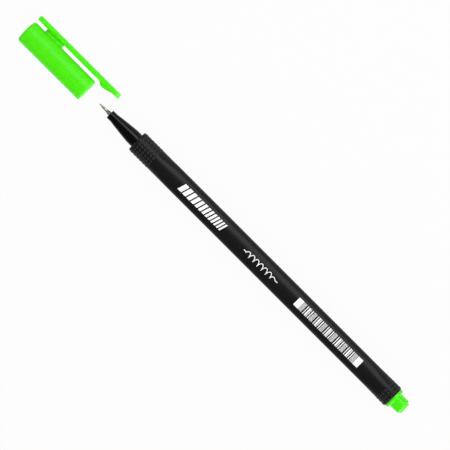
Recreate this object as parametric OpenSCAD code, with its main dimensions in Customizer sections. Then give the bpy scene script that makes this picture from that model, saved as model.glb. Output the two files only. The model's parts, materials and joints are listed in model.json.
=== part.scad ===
// Fineliner pen with a soft three-sided barrel, laid down with its cap pulled off ahead of the nib.
// X runs along the pen from the nib to the end plug, and Z points up from the table.
// The origin is on the pen's axis, at the face of the end plug that the posted cap would rest on.

/* [Barrel] */
// Length of the barrel from its front shoulder to its rear face
barrel_len = 123.2; // [90:0.1:150]
// Reach of the three rounded corners from the axis
corner_reach = 4.26; // [4.1:0.01:4.7]
// Radius of the three rounded corners
corner_r = 2.6; // [2:0.05:2.8]
// How far the middle of each face bows out from a flat one
face_bow = 0.325; // [0.1:0.005:0.6]
// Diameter of the round grip band behind the shoulder
front_band_d = 8; // [7.7:0.01:8.3]
// Length of the round grip band behind the shoulder
front_band_len = 9.2; // [8.4:0.1:12]
// Diameter of the round band at the rear end
rear_band_d = 8.2; // [7.7:0.01:8.4]
// Length of the round band at the rear end
rear_band_len = 4.4; // [4:0.1:8]
// Length over which each round band runs out into the three faces
blend_len = 9.2; // [5:0.1:14]
// Rounding of the front shoulder and of the rear edge
barrel_edge_r = 0.45; // [0.1:0.05:0.5]
// Diameter of the long bore that holds the reservoir
barrel_bore_d = 6; // [5.9:0.05:6.3]

/* [Nose] */
// Length of the nose from its front face to the barrel's shoulder
nose_len = 12.9; // [10:0.1:16]
// Diameter of the short straight part at the front of the nose
nose_front_d = 3.34; // [3:0.02:3.8]
// Length of the short straight part at the front of the nose
nose_front_len = 1.95; // [1.4:0.05:3]
// Diameter of the straight part that the cap grips
nose_rear_d = 5.34; // [5:0.02:5.5]
// Length of the straight part that the cap grips
nose_rear_len = 2.2; // [1.5:0.1:3]
// Diameter of the spigot that is pressed into the barrel
nose_spigot_d = 4.7; // [4.4:0.05:4.9]
// Length of the spigot that is pressed into the barrel
nose_spigot_len = 9; // [6:0.1:12]
// Rounding of the nose's front edge
nose_edge_r = 0.18; // [0.05:0.01:0.3]

/* [Nib] */
// Length of the fibre point that stands out of the steel sleeve
nib_out = 1.2; // [0.6:0.05:2]
// Diameter of the writing end of the fibre
nib_d = 0.56; // [0.4:0.02:0.6]
// Diameter of the thicker fibre that draws ink from the reservoir
nib_feed_d = 1.04; // [0.9:0.02:1.2]
// Depth to which the fibre reaches into the reservoir
nib_reach = 6; // [4:0.1:10]
// Length of the steel tube that stands out ahead of its cone
sleeve_tube_len = 1.9; // [1.2:0.05:3]
// Diameter of the steel tube at its rolled front edge
sleeve_tip_d = 0.82; // [0.78:0.01:0.9]
// Diameter of the steel tube where the cone starts
sleeve_tube_d = 1; // [0.92:0.01:1.1]
// Length of the steel cone
sleeve_cone_len = 1.8; // [1.2:0.05:3]
// Diameter of the cone's foot and of the shank behind it
sleeve_shank_d = 1.76; // [1.7:0.02:2.2]
// Length of the shank pressed into the nose
sleeve_shank_len = 6; // [4:0.1:8]

/* [Reservoir] */
// Clearance between the reservoir's film and the bore
reservoir_gap = 0.09; // [0.02:0.01:0.2]
// Thickness of the plastic film round the reservoir
wrap_t = 0.1; // [0.05:0.01:0.12]
// Length of bare fibre at each end of the film
wrap_setback = 1; // [0.5:0.1:3]

/* [End plug] */
// Thickness of the flange that closes the barrel
flange_t = 1.2; // [1:0.05:2]
// Diameter of the flange against the barrel
flange_d = 7.56; // [7.3:0.02:7.6]
// Rounding of the flange's outer edge
flange_round = 0.55; // [0.2:0.05:0.6]
// Diameter of the stub that the posted cap grips
stub_d = 5.5; // [5.2:0.02:5.7]
// Length of the stub with its chamfered end
stub_len = 4; // [3.5:0.1:7]
// Chamfer of the stub's end
stub_chamfer = 0.5; // [0.2:0.05:0.7]
// Diameter of the low boss on the stub's end
boss_d = 4.2; // [3.6:0.1:4.4]
// Height of the low boss on the stub's end
boss_h = 0.55; // [0.3:0.05:1]
// Rounding of the boss's edge
boss_round = 0.25; // [0.1:0.05:0.3]
// Length of the hollow spigot pressed into the barrel
plug_spigot_len = 7; // [4:0.1:8]
// Length of the crossed blades, from the flange to the reservoir
blade_len = 19.6; // [10:0.1:50]
// Wall of the hollow spigot
plug_wall = 0.8; // [0.6:0.05:1]
// Thickness of the crossed blades that hold the reservoir
blade_t = 0.7; // [0.5:0.05:1]

/* [Cap] */
// Length of the cap
cap_len = 29.55; // [28:0.05:36]
// Diameter of the cap at its closed end
cap_end_d = 8.55; // [8.3:0.01:9]
// Diameter of the cap at its mouth
cap_mouth_d = 8.45; // [8.2:0.01:8.9]
// Diameter of the cap's bore
cap_bore_d = 6.4; // [6.3:0.05:6.8]
// Thickness of the closed end
cap_end_t = 1.2; // [0.8:0.05:2]
// Height of the dome on the closed end
cap_dome_h = 0.3; // [0.1:0.05:0.5]
// Rounding round the closed end
cap_edge_r = 0.9; // [0.3:0.05:1]
// Rounding of the mouth's outer edge
mouth_edge_r = 0.45; // [0.1:0.05:0.5]
// Number of grip ribs in the bore
grip_ribs = 4; // [3:1:6]
// Width of each grip rib
grip_rib_w = 0.7; // [0.4:0.05:1]
// Length of each grip rib
grip_rib_len = 8; // [5:0.1:9]
// Distance of the grip ribs from the mouth
grip_rib_in = 0.6; // [0.3:0.1:1]
// Clearance between the grip ribs and the nose
grip_gap = 0.03; // [0.02:0.01:0.08]
// Distance that the cap stands ahead of the barrel's shoulder
cap_off = 23.9; // [23.9:0.1:40]

/* [Inner cap] */
// Length of the nose's front that the sealing lip covers
lip_cover = 1.8; // [1:0.05:1.9]
// Wall of the sealing tube
lip_wall = 0.65; // [0.4:0.05:0.8]
// Clearance between the sealing lip and the nose
lip_gap = 0.02; // [0.02:0.01:0.08]
// Room left ahead of the fibre point inside the sealing tube
nib_room = 1.6; // [1:0.1:3]
// Thickness of the web that closes the sealing tube
seal_web_t = 0.8; // [0.5:0.05:1.5]
// Wall of the skirt that is pressed into the closed end
skirt_wall = 0.7; // [0.5:0.05:1]

/* [Clip] */
// Length of the clip from end to end
clip_len = 38.3; // [34:0.1:44]
// Width of the clip
clip_w = 3.7; // [3:0.1:4.6]
// Thickness of the clip
clip_t = 1.85; // [1.4:0.05:2.2]
// Gap between the clip and the cap
clip_gap = 1.2; // [0.8:0.05:2]
// Distance of the clip's square end from the cap's closed end
clip_inset = 0.5; // [0.2:0.1:2]
// Rounding of the clip's long edges
clip_edge_r = 0.35; // [0.15:0.05:0.5]
// Distance of the web under the clip from the cap's closed end
web_inset = 5.2; // [3:0.1:8]
// Length of the web under the clip
web_len = 7.85; // [5:0.1:10]
// Width of the web under the clip
web_w = 2.2; // [1.4:0.1:2.8]
// Height of the grip bump on the clip's inner face
clip_bump_h = 1; // [0.6:0.05:1.1]
// Length of the grip bump
clip_bump_len = 5.9; // [4:0.1:8]
// Distance of the grip bump from the clip's tip
clip_bump_in = 2.85; // [2:0.05:4]

/* [Hidden] */
// Sides of true round shapes
round_sides = 64;
// Sides of the lofted part of the barrel, and the steps of each of its two blends
loft_sides = 72;
blend_steps = 8;
// Steps of a small rounding and of the nose's long curve
fillet_steps = 6;
nose_steps = 8;
// Clearance all round where one piece is pressed into another
seat_gap = 0.01;
// Clearance round the bend of the clip
flex_gap = 0.03;
// Overrun of cuts and of pieces that are fused
over = 0.2;
// Depth of the seam where the lofted part of the barrel leaves a band
seam = 0.02;
// How full the nose's taper is between its two straight parts
nose_crown_share = 0.06;
// Places along the clip's bump, and its height at each, as shares of its length and height
bump_place_shares = [0, 0.05, 0.11, 0.16, 0.22, 0.27, 0.33, 0.39, 0.5, 0.62, 0.74, 0.86, 1];
bump_height_shares = [0, 0.18, 0.46, 0.72, 0.92, 0.98, 1, 0.98, 0.87, 0.68, 0.47, 0.24, 0];
// Share of the clip's thickness at which it bends
flex_place_share = 0.5;
// Colours of the plastics, the steel and the fibre
c_green = [0.33, 0.93, 0.12];
c_black = [0.12, 0.12, 0.13];
c_gloss = [0.05, 0.05, 0.055];
c_steel = [0.72, 0.7, 0.68];
c_fibre = [0.9, 0.92, 0.86];
c_ink = [0.4, 0.75, 0.3];
c_film = [0.92, 0.94, 0.96];

// Places along the pen
barrel_rear = -flange_t;
shoulder = barrel_rear - barrel_len;
nose_front = shoulder - nose_len;
sleeve_front = nose_front - sleeve_cone_len - sleeve_tube_len;
nib_tip = sleeve_front - nib_out;
cap_mouth = shoulder - cap_off;
cap_front = cap_mouth - cap_len;
socket_end = shoulder + nose_spigot_len;
reservoir_front = socket_end + seat_gap;
reservoir_rear = barrel_rear - blade_len;
film_d = barrel_bore_d - 2 * reservoir_gap;
reservoir_d = film_d - 2 * wrap_t - 2 * seat_gap;
plug_spigot_front = barrel_rear - plug_spigot_len;
cap_bore_end = cap_front + cap_end_t;
lip_front = cap_mouth - nose_len + lip_cover;
// The sealing tube ends the chosen room ahead of where the fibre point stands with the cap on
seal_end = nib_tip - cap_off - nib_room;

// Section of the barrel: crowned faces that run smoothly into rounded corners
corner_c = corner_reach - corner_r;
face_reach = corner_c / 2 + corner_r + face_bow;
face_arc_top = pow(corner_r, 2) - pow(corner_c, 2) + corner_c * face_reach - pow(face_reach, 2);
face_arc_r = face_arc_top / (corner_c + 2 * (corner_r - face_reach));
face_c = face_arc_r - face_reach;
// Angle from a face's middle at which its crown meets the corner
meet_run = corner_c / 2 + face_c;
meet_rise = corner_c * sqrt(3) / 2;
meet_share = face_arc_r / (face_arc_r - corner_r);
meet_angle = atan2(meet_rise * meet_share, meet_run * meet_share - face_c);

// The clip, the place where it bends, and the lean at which cap and clip both meet the table
cap_r = cap_end_d / 2;
clip_inner = cap_r + clip_gap;
clip_outer = clip_inner + clip_t;
clip_front = cap_front + clip_inset;
clip_tip = clip_front + clip_len;
web_front = cap_front + web_inset;
web_rear = web_front + web_len;
flex_y = clip_inner + clip_t * flex_place_share;
flex_r = clip_t / 2;
corner_y = clip_outer - clip_edge_r;
corner_z = clip_w / 2 - clip_edge_r;
rest_lean = asin((cap_r - clip_edge_r) / norm([corner_y, corner_z])) - atan2(corner_z, corner_y);

// Points of an arc about c, from angle a to angle b
function arc(c, r, a, b) = [
    for (i = [0 : fillet_steps])
        let (t = a + (b - a) * i / fillet_steps) [c[0] + r * cos(t), c[1] + r * sin(t)]
];
// Eases from 0 to 1
function ease(u) = u * u * (3 - 2 * u);
// Keeps a share between 0 and 1
function bound(u) = min(1, max(0, u));
// Radius of the three-sided section at an angle from the middle of the top face
function fold(a) = abs((a + 60) % 120 - 60);
function face_at(b) = sqrt(pow(face_arc_r, 2) - pow(face_c * sin(b), 2)) - face_c * cos(b);
function corner_at(b) = corner_c * cos(b) + sqrt(pow(corner_r, 2) - pow(corner_c * sin(b), 2));
function three_sided(a) = fold(a) < meet_angle ? face_at(fold(a)) : corner_at(60 - fold(a));
// Share of the three-sided section at x, from 0 at each band to 1 between the blends
function from_front(x) = bound((x - shoulder - front_band_len) / blend_len);
function from_rear(x) = bound((barrel_rear - rear_band_len - x) / blend_len);
function share_at(x) = ease(min(from_front(x), from_rear(x)));
function band_r(x) = (x < (shoulder + barrel_rear) / 2 ? front_band_d : rear_band_d) / 2 - seam;
function barrel_r(x, a) = band_r(x) + (three_sided(a) - band_r(x)) * share_at(x);
function barrel_ring(x) = [
    for (i = [0 : loft_sides - 1])
        let (a = 360 * i / loft_sides, r = barrel_r(x, a)) [x, r * sin(a), r * cos(a)]
];
// Radius of the nose's taper at a share of its length
function nose_swell(u) = u + 4 * nose_crown_share * u * (1 - u);
function nose_r(u) = (nose_front_d + (nose_rear_d - nose_front_d) * nose_swell(u)) / 2;

// Lays a piece down at the lean at which the cap and the clip meet the table
module laid() {
    rotate([-rest_lean, 0, 0]) children();
}

// Turns an outline, given as radius and place along the pen, about the pen's axis
module turned(outline) {
    rotate([0, 90, 0]) rotate_extrude($fn = round_sides) polygon(outline);
}

// Round bar along the pen between two places
module bar(d, from, to) {
    translate([from, 0, 0]) rotate([0, 90, 0]) cylinder(d = d, h = to - from, $fn = round_sides);
}

// Skin through rings that have as many points as each other
module lofted(rings) {
    n = len(rings[0]);
    last = len(rings) - 1;
    points = [for (ring = rings) each ring];
    walls = [
        for (k = [0 : last - 1], i = [0 : n - 1])
            let (j = (i + 1) % n, a = k * n, b = a + n)
                each [[a + i, a + j, b + j], [a + i, b + j, b + i]]
    ];
    front = [[for (i = [n - 1 : -1 : 0]) i]];
    back = [[for (i = [0 : n - 1]) last * n + i]];
    polyhedron(points = points, faces = concat(walls, front, back));
}

// Round band with one rounded edge, from its plain end to its rounded end
module band(d, plain, edge) {
    step = sign(edge - plain) * barrel_edge_r;
    corner = [d / 2 - barrel_edge_r, edge - step];
    rounding = [
        for (i = [0 : fillet_steps])
            let (t = 90 * i / fillet_steps)
                [corner[0] + barrel_edge_r * cos(t), corner[1] + step * sin(t)]
    ];
    turned(concat([[0, plain], [d / 2, plain]], rounding, [[0, edge]]));
}

// Barrel: two round bands, the lofted three-sided part between them, and the bores
module barrel() {
    front_run = shoulder + front_band_len;
    rear_run = barrel_rear - rear_band_len;
    front_places = [for (i = [0 : blend_steps]) front_run + blend_len * i / blend_steps];
    rear_places = [for (i = [blend_steps : -1 : 0]) rear_run - blend_len * i / blend_steps];
    places = concat([front_run - over], front_places, rear_places, [rear_run + over]);
    color(c_black) laid() difference() {
        union() {
            lofted([for (x = places) barrel_ring(x)]);
            band(front_band_d, front_run, shoulder);
            band(rear_band_d, rear_run, barrel_rear);
        }
        bar(nose_spigot_d, shoulder - over, socket_end + over);
        bar(barrel_bore_d, socket_end, barrel_rear + over);
    }
}

// Nose: the glossy taper that the cap grips, its spigot in the barrel, and its stepped bore
module nose_section() {
    taper_from = nose_front + nose_front_len;
    taper_len = nose_len - nose_front_len - nose_rear_len;
    face_r = sleeve_shank_d / 2 + seat_gap;
    spigot_r = nose_spigot_d / 2 - seat_gap;
    feed_r = nib_feed_d / 2 + seat_gap;
    shank_seat = nose_front + sleeve_shank_len;
    taper = [for (i = [0 : nose_steps]) [nose_r(i / nose_steps), taper_from + taper_len * i / nose_steps]];
    color(c_gloss) laid() turned(concat(
        [[face_r, nose_front]],
        arc([nose_front_d / 2 - nose_edge_r, nose_front + nose_edge_r], nose_edge_r, -90, 0),
        taper,
        [[nose_rear_d / 2, shoulder]],
        [[spigot_r, shoulder]],
        [[spigot_r, socket_end]],
        [[feed_r, socket_end]],
        [[feed_r, shank_seat]],
        [[face_r, shank_seat]]
    ));
}

// Steel sleeve: thin tube, cone, and the shank pressed into the nose
module nib_sleeve() {
    cone_from = sleeve_front + sleeve_tube_len;
    shank_end = nose_front + sleeve_shank_len;
    tube_bore_r = nib_d / 2 + seat_gap;
    feed_bore_r = nib_feed_d / 2 + seat_gap;
    color(c_steel) laid() turned([
        [tube_bore_r, sleeve_front],
        [sleeve_tip_d / 2, sleeve_front],
        [sleeve_tube_d / 2, cone_from],
        [sleeve_shank_d / 2, nose_front],
        [sleeve_shank_d / 2, shank_end],
        [feed_bore_r, shank_end],
        [feed_bore_r, nose_front],
        [tube_bore_r, nose_front]
    ]);
}

// Fibre nib: the rounded point, the thin writing part, and the thicker feed that reaches into the reservoir
module fibre_nib() {
    nib_r = nib_d / 2;
    point = [for (p = arc([0, nib_tip + nib_r], nib_r, -90, 0)) p];
    feed_front = nose_front + seat_gap;
    feed_end = reservoir_front + nib_reach;
    color(c_ink) laid() turned(concat(
        point,
        [[nib_r, feed_front]],
        [[nib_feed_d / 2, feed_front]],
        [[nib_feed_d / 2, feed_end]],
        [[0, feed_end]]
    ));
}

// Fibre reservoir with the hole that takes the back of the nib
module ink_reservoir() {
    color(c_fibre) laid() difference() {
        bar(reservoir_d, reservoir_front, reservoir_rear);
        bar(nib_feed_d + 2 * seat_gap, reservoir_front - over, reservoir_front + nib_reach + seat_gap);
    }
}

// Plastic film wrapped round the reservoir
module reservoir_film() {
    from = reservoir_front + wrap_setback;
    to = reservoir_rear - wrap_setback;
    color(c_film) laid() difference() {
        bar(film_d, from, to);
        bar(film_d - 2 * wrap_t, from - over, to + over);
    }
}

// End plug: flange, the stub for the posted cap, and the hollow spigot with the blades that hold the reservoir
module end_plug() {
    spigot_r = barrel_bore_d / 2 - seat_gap;
    flange_arc = arc([flange_d / 2 - flange_round, -flange_round], flange_round, 0, 90);
    boss_end = stub_len + boss_h;
    boss_arc = arc([boss_d / 2 - boss_round, boss_end - boss_round], boss_round, 0, 90);
    blade_d = 2 * (spigot_r - plug_wall + over);
    color(c_green) laid() {
        turned(concat(
            [[0, barrel_rear], [spigot_r - plug_wall, barrel_rear]],
            [[spigot_r - plug_wall, plug_spigot_front]],
            [[spigot_r, plug_spigot_front], [spigot_r, barrel_rear]],
            [[flange_d / 2, barrel_rear]],
            flange_arc,
            [[stub_d / 2, 0], [stub_d / 2, stub_len - stub_chamfer]],
            [[stub_d / 2 - stub_chamfer, stub_len], [boss_d / 2, stub_len]],
            boss_arc,
            [[0, boss_end]]
        ));
        for (turn = [0, 90]) intersection() {
            translate([reservoir_rear, 0, 0]) rotate([turn, 0, 0])
                translate([0, -blade_d / 2, -blade_t / 2]) cube([blade_len + over, blade_d, blade_t]);
            bar(blade_d, reservoir_rear, barrel_rear + over);
        }
    }
}

// Cap: domed tube with grip ribs in its bore, and the web and clip foot moulded on its side
module cap_shell() {
    edge_c = [cap_r - cap_edge_r, cap_front + cap_dome_h + cap_edge_r];
    mouth_c = [cap_mouth_d / 2 - mouth_edge_r, cap_mouth - mouth_edge_r];
    rib_inner = nose_rear_d / 2 + grip_gap;
    rib_h = cap_bore_d / 2 - rib_inner + over;
    web_base = cap_bore_d / 2 + over;
    color(c_green) laid() {
        turned(concat(
            [[0, cap_front]],
            [[edge_c[0] / 2, cap_front + cap_dome_h / 4]],
            arc(edge_c, cap_edge_r, -90, 0),
            arc(mouth_c, mouth_edge_r, 0, 90),
            [[cap_bore_d / 2, cap_mouth]],
            [[cap_bore_d / 2, cap_bore_end], [0, cap_bore_end]]
        ));
        for (k = [0 : grip_ribs - 1]) rotate([360 * k / grip_ribs, 0, 0])
            translate([cap_mouth - grip_rib_in - grip_rib_len, rib_inner, -grip_rib_w / 2])
                cube([grip_rib_len, rib_h, grip_rib_w]);
        clip_foot(web_base);
    }
}

// Web between the cap and the clip, round at its front
module web(base) {
    translate([0, base, 0]) rotate([-90, 0, 0]) linear_extrude(clip_inner + over - base) {
        translate([web_front + web_w / 2, 0]) circle(d = web_w, $fn = round_sides);
        translate([web_front + web_w / 2, -web_w / 2]) square([web_len - web_w / 2, web_w]);
    }
}

// Bar with rounded long edges in the clip's place
module clip_bar(from, to) {
    inset = clip_edge_r;
    translate([from, 0, 0]) rotate([90, 0, 90]) linear_extrude(to - from) {
        for (y = [clip_inner + inset, clip_outer - inset], z = [-1, 1])
            translate([y, z * (clip_w / 2 - inset)]) circle(r = inset, $fn = round_sides);
        translate([clip_inner + inset, -clip_w / 2]) square([clip_t - 2 * inset, clip_w]);
        translate([clip_inner, inset - clip_w / 2]) square([clip_t, clip_w - 2 * inset]);
    }
}

// Foot of the clip on its web, hollowed where the springing part starts
module clip_foot(base) {
    difference() {
        union() {
            web(base);
            clip_bar(clip_front, web_rear);
        }
        translate([web_rear, flex_y, -clip_w / 2 - over])
            cylinder(r = flex_r + flex_gap, h = clip_w + 2 * over, $fn = round_sides);
    }
}

// Springing part of the clip, round where it bends and at its tip, with the bump that grips the pocket
module pocket_clip() {
    last = len(bump_place_shares) - 1;
    bump_from = clip_tip - clip_bump_in - clip_bump_len;
    bump_w = clip_w - 2 * clip_edge_r;
    bump = [
        for (i = [0 : last])
            [bump_from + clip_bump_len * bump_place_shares[i], clip_inner - clip_bump_h * bump_height_shares[i]]
    ];
    color(c_green) laid() {
        intersection() {
            clip_bar(web_rear - flex_r, clip_tip);
            union() {
                translate([web_rear, flex_y, -clip_w]) cylinder(r = flex_r, h = 2 * clip_w, $fn = round_sides);
                translate([web_rear, clip_inner - over, -clip_w / 2 - over])
                    cube([clip_tip - clip_w / 2 - web_rear, clip_t + 2 * over, clip_w + 2 * over]);
                translate([clip_tip - clip_w / 2, clip_inner - over, 0]) rotate([-90, 0, 0])
                    cylinder(d = clip_w, h = clip_t + 2 * over, $fn = round_sides);
            }
        }
        translate([0, 0, -bump_w / 2]) linear_extrude(bump_w)
            polygon(concat(bump, [[bump[last][0], clip_inner + over], [bump[0][0], clip_inner + over]]));
    }
}

// Inner cap: the tube that seals on the nose's front, closed ahead of the point, and its skirt in the closed end
module inner_cap() {
    lip_r = nose_front_d / 2 + lip_gap;
    skirt_r = cap_bore_d / 2 - seat_gap;
    skirt_front = seal_end + seal_web_t;
    color(c_film) laid() turned([
        [lip_r, lip_front],
        [lip_r + lip_wall, lip_front],
        [lip_r + lip_wall, skirt_front],
        [skirt_r, skirt_front],
        [skirt_r, cap_bore_end],
        [skirt_r - skirt_wall, cap_bore_end],
        [skirt_r - skirt_wall, seal_end - seal_web_t],
        [0, seal_end - seal_web_t],
        [0, seal_end],
        [lip_r, seal_end]
    ]);
}

barrel();
nose_section();
nib_sleeve();
fibre_nib();
ink_reservoir();
reservoir_film();
end_plug();
cap_shell();
inner_cap();
pocket_clip();
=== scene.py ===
"""Looks of a fineliner pen that lies on a pale table with its cap pulled off ahead of the nib."""
import itertools
import json
import math
import bmesh
import bpy
from mathutils import Matrix, Vector


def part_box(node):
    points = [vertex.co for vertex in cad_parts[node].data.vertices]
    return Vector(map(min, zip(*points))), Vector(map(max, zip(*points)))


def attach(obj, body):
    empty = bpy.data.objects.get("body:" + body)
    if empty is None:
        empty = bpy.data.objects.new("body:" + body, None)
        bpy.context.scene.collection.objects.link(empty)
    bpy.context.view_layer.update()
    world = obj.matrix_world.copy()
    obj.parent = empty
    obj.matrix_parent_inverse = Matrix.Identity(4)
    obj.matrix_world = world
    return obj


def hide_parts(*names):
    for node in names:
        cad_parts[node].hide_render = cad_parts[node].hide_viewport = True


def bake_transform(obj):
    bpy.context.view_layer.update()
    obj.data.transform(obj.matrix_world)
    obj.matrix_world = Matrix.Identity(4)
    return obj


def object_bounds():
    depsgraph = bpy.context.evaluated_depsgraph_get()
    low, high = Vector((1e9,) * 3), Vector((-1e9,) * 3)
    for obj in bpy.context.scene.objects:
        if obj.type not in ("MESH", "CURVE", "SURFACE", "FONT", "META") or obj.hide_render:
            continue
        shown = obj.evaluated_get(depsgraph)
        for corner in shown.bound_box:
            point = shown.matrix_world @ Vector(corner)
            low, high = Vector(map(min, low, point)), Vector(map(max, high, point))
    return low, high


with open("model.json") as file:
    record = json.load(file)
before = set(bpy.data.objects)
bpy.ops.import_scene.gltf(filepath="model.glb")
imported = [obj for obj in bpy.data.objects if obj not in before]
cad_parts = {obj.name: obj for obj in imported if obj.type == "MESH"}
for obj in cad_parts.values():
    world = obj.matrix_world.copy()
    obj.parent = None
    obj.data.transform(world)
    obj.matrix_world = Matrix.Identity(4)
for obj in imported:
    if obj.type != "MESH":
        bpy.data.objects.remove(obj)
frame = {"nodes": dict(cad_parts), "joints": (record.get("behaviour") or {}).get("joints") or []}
cad_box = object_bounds()

# The pen's own axes: x along the pen, y to the clip, z out of the printed face, in millimetres
MM = 0.001
SAME_PLACE = 0.005
flex = next(j for j in frame["joints"] if j["name"] == "clip_flex")
ALONG = Vector((1, 0, 0))
PRINT_SIDE = Vector(flex["axis"]).normalized()
CLIP_SIDE = PRINT_SIDE.cross(ALONG)
TO_FRAME = Matrix((ALONG * MM, CLIP_SIDE * MM, PRINT_SIDE * MM)).transposed()


def span(node):
    """Places along the pen at which a CAD node starts and ends."""
    low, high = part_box(node)
    return low.x / MM, high.x / MM


def radius(node, place, pick=max):
    """Radius of the edge of a CAD node that is nearest to a place along the pen."""
    points = [v.co / MM for v in frame["nodes"][node].data.vertices]
    nearest = min(abs(p.x - place) for p in points)
    return pick(math.hypot(p.y, p.z) for p in points if abs(p.x - place) < nearest + SAME_PLACE)


# Places along the pen
barrel_front, barrel_rear = span("barrel")
nose_front, socket_end = span("nose_section")
sleeve_front, sleeve_end = span("nib_sleeve")
nib_tip, feed_end = span("fibre_nib")
blades_front, plug_end = span("end_plug")
cap_front, cap_mouth = span("cap_shell")
seal_front, lip_end = span("inner_cap")
clip_tip = span("pocket_clip")[1]
cap_off = barrel_front - cap_mouth
flex_place = Vector(flex["pos_m"]) / MM
flex_x, flex_y = flex_place.x, flex_place.dot(CLIP_SIDE)

# Barrel: its two round bands, and the blends from them into the three-sided part
FRONT_BAND = 9.2
REAR_BAND = 4.4
BLEND = 9.2
BLEND_RINGS = 22
BARREL_SIDES = 144
BARREL_EDGE = 0.45
BORE_EDGE = 0.12
CORNER_R = 2.6
full_from = barrel_front + FRONT_BAND + BLEND
front_band_r = radius("barrel", barrel_front + FRONT_BAND)
rear_band_r = radius("barrel", barrel_rear - REAR_BAND)
corner_reach = radius("barrel", full_from)
face_reach = radius("barrel", full_from, min)
bore_r = radius("barrel", barrel_rear, min)

# Nose, steel sleeve and fibre point
NOSE_FRONT_LEN = 1.95
NOSE_REAR_LEN = 2.2
NOSE_CROWN = 0.06
NOSE_STEPS = 28
NOSE_EDGE = 0.18
NOSE_BORE_EDGE = 0.05
SPIGOT_EDGE = 0.2
SLEEVE_TUBE = 1.9
SLEEVE_CONE_ROUND = 0.9
SLEEVE_EDGE = 0.08
SLEEVE_BORE_EDGE = 0.03
SLEEVE_TAIL_EDGE = 0.1
POINT_ROUND = 0.97
FEED_EDGE = 0.1
nose_front_r = radius("nose_section", nose_front + NOSE_FRONT_LEN)
nose_rear_r = radius("nose_section", barrel_front - NOSE_REAR_LEN)
spigot_r = radius("nose_section", socket_end)
feed_bore_r = radius("nose_section", socket_end, min)
shank_bore_r = radius("nose_section", nose_front, min)

# End plug: flange, stub and boss outside the barrel, spigot and crossed blades inside it
FLANGE_ROUND = 0.55
FLANGE_SEAT_EDGE = 0.06
STUB_CHAMFER = 0.5
STUB_ROOT = 0.2
STUB_CHAMFER_EDGES = (0.3, 0.12)
BOSS_R = 2.1
BOSS_H = 0.55
BOSS_ROOT = 0.08
BOSS_EDGE = 0.25
PLUG_SPIGOT = 7
PLUG_WALL = 0.8
PLUG_SPIGOT_EDGES = (0.2, 0.1, 0.25)
# Run over which the painted highlight and glow rises towards the plug's end
PLUG_GLOW_RUN = 1.05
BLADE_T = 0.7
BLADE_CHAMFER = 0.15
BLADE_OVERLAP = 0.1
flange_r = radius("end_plug", barrel_rear)
stub_r = radius("end_plug", plug_end - BOSS_H - STUB_CHAMFER)

# Cap: closed end, mouth, and the ribs in its bore that grip the nose
CAP_DOME = 0.3
CAP_EDGE = 0.9
CAP_END_T = 1.2
CAP_END_FILLET = 0.4
MOUTH_EDGE = 0.45
MOUTH_BORE_EDGE = 0.14
MOUTH_GAP = 0.02
MOUTH_THIN = 1.3
MOUTH_THIN_RINGS = (1, 0.8, 0.6)
RIBS = 4
RIB_W = 0.7
RIB_IN = 0.6
RIB_LEN = 8
RIB_RAMP = 0.5
RIB_EDGE = 0.15
RIB_LOW = 0.05
RIB_SUNK = 0.2
RIB_SPLAY = 0.1
cap_end_r = radius("cap_shell", cap_front + CAP_DOME + CAP_EDGE)
cap_mouth_r = radius("cap_shell", cap_mouth - MOUTH_EDGE)
cap_bore_r = radius("cap_shell", cap_mouth, min)
rib_r = radius("cap_shell", cap_mouth - RIB_IN, min)

# Clip and its web
CLIP_W = 3.7
CLIP_T = 1.85
CLIP_EDGE = 0.35
CLIP_CORNER = 0.45
CLIP_INSET = 0.5
# Run over which the painted highlight and glow rises towards the clip's tip
TIP_GLOW_RUN = 2.2
WEB_INSET = 5.2
WEB_W = 2.2
WEB_FILLET = 0.35
WEB_CORNER = 0.2
WEB_OVERLAP = 0.3
BUMP_H = 1
BUMP_LEN = 5.9
BUMP_IN = 2.85
BUMP_FLANK = 0.3
BUMP_AT_EDGE = 0.45
BUMP_PLACES = [0, 0.05, 0.11, 0.16, 0.22, 0.27, 0.33, 0.39, 0.5, 0.62, 0.74, 0.86, 1]
BUMP_HEIGHTS = [0, 0.18, 0.46, 0.72, 0.92, 0.98, 1, 0.98, 0.87, 0.68, 0.47, 0.24, 0]
clip_front = cap_front + CLIP_INSET
web_front = cap_front + WEB_INSET
clip_outer = flex_y + CLIP_T / 2
clip_inner = flex_y - CLIP_T / 2
bump_front = clip_tip - BUMP_IN - BUMP_LEN

# Inner cap
LINER_STANDOFF = 1.6
LINER_WEB_T = 0.8
LINER_EDGE = 0.2
LINER_LIP_EDGE = 0.12
LINER_SKIRT_EDGE = 0.1

# Rows of grip dots round the two bands
DOT_R = 0.48
DOT_H = 0.12
DOT_PITCH = 1.36
DOT_ROWS = 21
DOT_TURN = -4.3
FRONT_DOTS = 6
FRONT_DOTS_IN = 1.4
REAR_DOTS = 3
REAR_DOTS_IN = 0.8
DOT_RINGS = (1.15, 0.85, 0.6, 0.35, 0.12)
DOT_SIDES = 12

# Print on the top face, as places along the pen and across it
INK_T = 0.012
FADING_FROM = barrel_front + 21.8
FADING_LOW, FADING_HIGH = -1.7, 1.46
FADING_BARS = 13
FADING_WIDE = 1.7
FADING_GAP = 0.5
FADING_SHRINK = 0.92
FADING_SLANT = 0.3
LINE_FROM = barrel_front + 51.9
LINE_LEN = 16
LINE_MIDDLE = -0.35
LINE_WAVES = 8
LINE_HEIGHT = 0.95
LINE_LEAN = 0.35
LINE_HALF_W = 0.14
LINE_FADES = (6, 4)
BARS_FROM = barrel_front + 76.8
BARS_LEN = 30.5
BARS_LOW, BARS_HIGH = -1.68, 1.6
BARS_BLOCK = 2.2
BARS_INSET = 0.15
BARS_RHYTHM = [(0.14, 0.15)] * 4 + [(0.14, 0.62), (0.3, 0.42), (0.55, 0.2), (0.28, 0.5), (0.35, 0.36)]

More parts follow.
